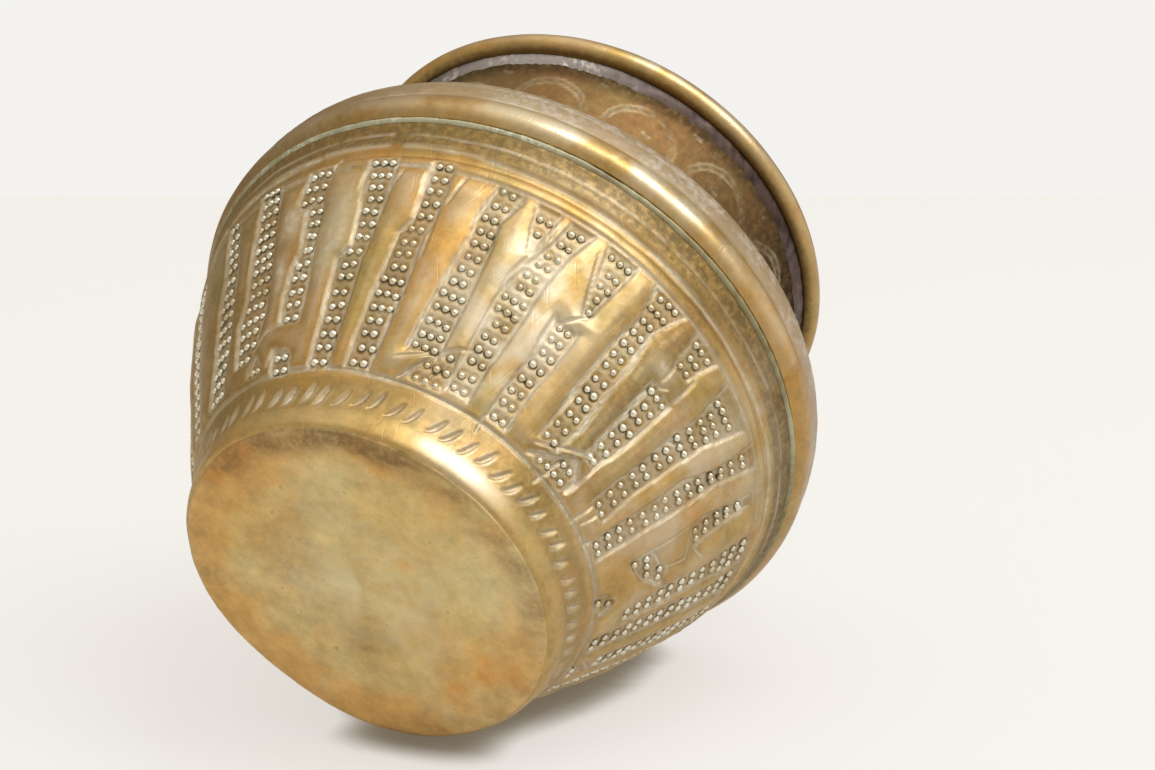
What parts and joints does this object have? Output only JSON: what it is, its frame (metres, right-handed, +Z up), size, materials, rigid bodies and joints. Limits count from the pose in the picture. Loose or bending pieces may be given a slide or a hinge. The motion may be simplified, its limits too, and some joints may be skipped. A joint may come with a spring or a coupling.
{
  "type": "pen cup",
  "caption": "Round hammered brass pen cup with a chased tapered wall, a bulged shoulder ring and a flared neck with a rolled rim.",
  "frame": {"origin": "centre of the base plate's underside, where the cup stands", "axes": "+Z up the cup's axis, from the base to the mouth"},
  "size_m": [0.11, 0.11, 0.0975],
  "materials": {
    "wall_brass": "chased and worn, dark patina in the sunk work",
    "base_brass": "mottled golden and coppery patina, lightly scratched",
    "polished_brass": "satin, brightened by handling",
    "dark_brass": "dark brown patina with punched scallops",
    "braze_metal": "cast, lumpy",
    "wire_brass": "drawn wire, dull",
    "grey_solder": "dull grey soft solder, lumpy",
    "greened_solder": "soft solder greened with verdigris"
  },
  "bodies": {
    "root": {"base_plate": "base_brass", "base_braze": "braze_metal", "body_wall": "wall_brass", "shoulder_ring": "polished_brass", "ring_seam": "greened_solder", "shoulder_solder": "grey_solder", "neck_collar": "dark_brass", "rim_solder": "grey_solder", "rim_ring": "polished_brass", "rim_wire": "wire_brass"}
  },
  "joints": []
}
